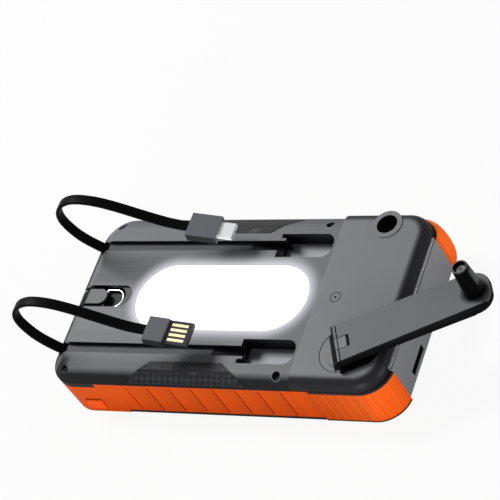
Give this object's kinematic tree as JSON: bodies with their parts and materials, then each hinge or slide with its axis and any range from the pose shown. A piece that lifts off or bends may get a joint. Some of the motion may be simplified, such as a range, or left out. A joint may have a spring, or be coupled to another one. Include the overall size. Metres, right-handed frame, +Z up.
{
  "type": "hand crank power bank",
  "caption": "Rugged power bank with a long oval lamp, two flat captive charging leads, a fold-out hand crank and orange rubber bumpers.",
  "frame": {"origin": "middle of the plane the four bumper feet rest on", "axes": "+X along the body towards the crank end, -Y the long side with the button, +Z up, the lamp side"},
  "size_m": [0.221, 0.0905, 0.0623],
  "materials": {
    "dark_plastic": "fine matt grain",
    "grey_plastic": "matt",
    "black_plastic": "satin",
    "gloss_black": "semi-gloss",
    "orange_rubber": "matt",
    "black_rubber": "satin",
    "woven_inlay": "woven pattern",
    "white_plastic": "matt",
    "diffuser": "milky",
    "led_resin": "clear",
    "board": "satin",
    "cell_foil": "brushed",
    "foam": "open foam",
    "solar_glass": "polished",
    "sheet_metal": "plated",
    "steel": "turned",
    "dark_steel": "blackened",
    "chrome_wire": "polished",
    "brass": "machined",
    "brass_gold": "plated",
    "gear_plastic": "natural"
  },
  "bodies": {
    "case": {"lower_shell": "dark_plastic", "front_bumper": "orange_rubber", "rear_bumper": "orange_rubber", "front_corner_guard": "orange_rubber", "rear_corner_guard": "orange_rubber", "top_cover": "dark_plastic", "grip_inlay_front": "woven_inlay", "grip_inlay_rear": "woven_inlay", "lead_grommet_front": "black_rubber", "lead_grommet_rear": "black_rubber", "flat_lead_front": "black_rubber", "flat_lead_rear": "black_rubber", "crank_housing": "dark_plastic", "end_panel": "grey_plastic", "port_panel": "grey_plastic", "wide_sockets": "sheet_metal", "round_socket": "sheet_metal", "main_board": "board", "tact_switch": "black_plastic", "battery_cell_lower": "cell_foil", "battery_cell_upper": "cell_foil", "foam_pad": "foam", "solar_panel": "solar_glass", "lamp_board": "board", "lamp_leds": "led_resin", "lamp_reflector": "white_plastic", "lamp_lens": "diffuser", "hook_tongue": "dark_plastic", "shell_screws": "dark_steel", "crank_bush": "black_plastic", "gear_plate": "sheet_metal", "gearbox_screws": "dark_steel", "idler_axles": "steel", "generator_case": "steel", "front_plug_body": "black_plastic", "front_plug_tongue": "black_plastic", "front_plug_contacts": "brass_gold", "rear_plug_body": "black_plastic", "rear_plug_shell": "sheet_metal"},
    "crank": {"crank_disc": "dark_plastic", "crank_shaft": "steel", "drive_gear": "gear_plastic", "hinge_pin": "steel"},
    "arm": {"crank_arm": "dark_plastic", "knob_carrier": "black_plastic", "knob_screw": "dark_steel"},
    "knob": {"knob": "gloss_black"},
    "first_idler": {"first_idler": "gear_plastic"},
    "second_idler": {"second_idler": "gear_plastic"},
    "rotor": {"generator_rotor": "steel", "rotor_pinion": "brass"},
    "button": {"power_button": "orange_rubber"},
    "flap": {"port_flap": "grey_plastic"},
    "bail": {"bail": "chrome_wire"}
  },
  "joints": [
    {"name": "crank_turn", "type": "hinge", "parent": "case", "child": "crank", "pos_m": [0.0638, -0.0272, 0.028], "axis": [0, 0, 1], "continuous": true},
    {"name": "arm_fold", "type": "hinge", "parent": "crank", "child": "arm", "pos_m": [0.06227, -0.02795, 0.0316], "axis": [0.4415, -0.8973, 0], "range_deg": [0, 160]},
    {"name": "knob_spin", "type": "hinge", "parent": "arm", "child": "knob", "pos_m": [0.11853, -0.00027, 0.037], "axis": [0, 0, 1], "continuous": true},
    {"name": "first_idler_spin", "type": "hinge", "parent": "case", "child": "first_idler", "pos_m": [0.0638, -0.0128, 0.018], "axis": [0, 0, 1], "continuous": true},
    {"name": "second_idler_spin", "type": "hinge", "parent": "case", "child": "second_idler", "pos_m": [0.0638, 0.0016, 0.015], "axis": [0, 0, 1], "continuous": true},
    {"name": "rotor_spin", "type": "hinge", "parent": "case", "child": "rotor", "pos_m": [0.0638, 0.016, 0.009], "axis": [0, 0, 1], "continuous": true},
    {"name": "button_press", "type": "slide", "parent": "case", "child": "button", "axis": [0, 1, 0], "range_m": [0, 0.0008], "stiffness_N_per_m": 600, "springref_m": -0.0008},
    {"name": "flap_open", "type": "hinge", "parent": "case", "child": "flap", "pos_m": [-0.0852, 0, 0.0041], "axis": [0, -1, 0], "range_deg": [0, 95]},
    {"name": "bail_swing", "type": "hinge", "parent": "case", "child": "bail", "pos_m": [-0.072, 0, 0.0232], "axis": [0, -1, 0], "range_deg": [0, 120]}
  ],
  "couplings": [
    {"joint": "first_idler_spin", "follows": "crank_turn", "ratio": -3},
    {"joint": "second_idler_spin", "follows": "crank_turn", "ratio": 9},
    {"joint": "rotor_spin", "follows": "crank_turn", "ratio": -27}
  ]
}
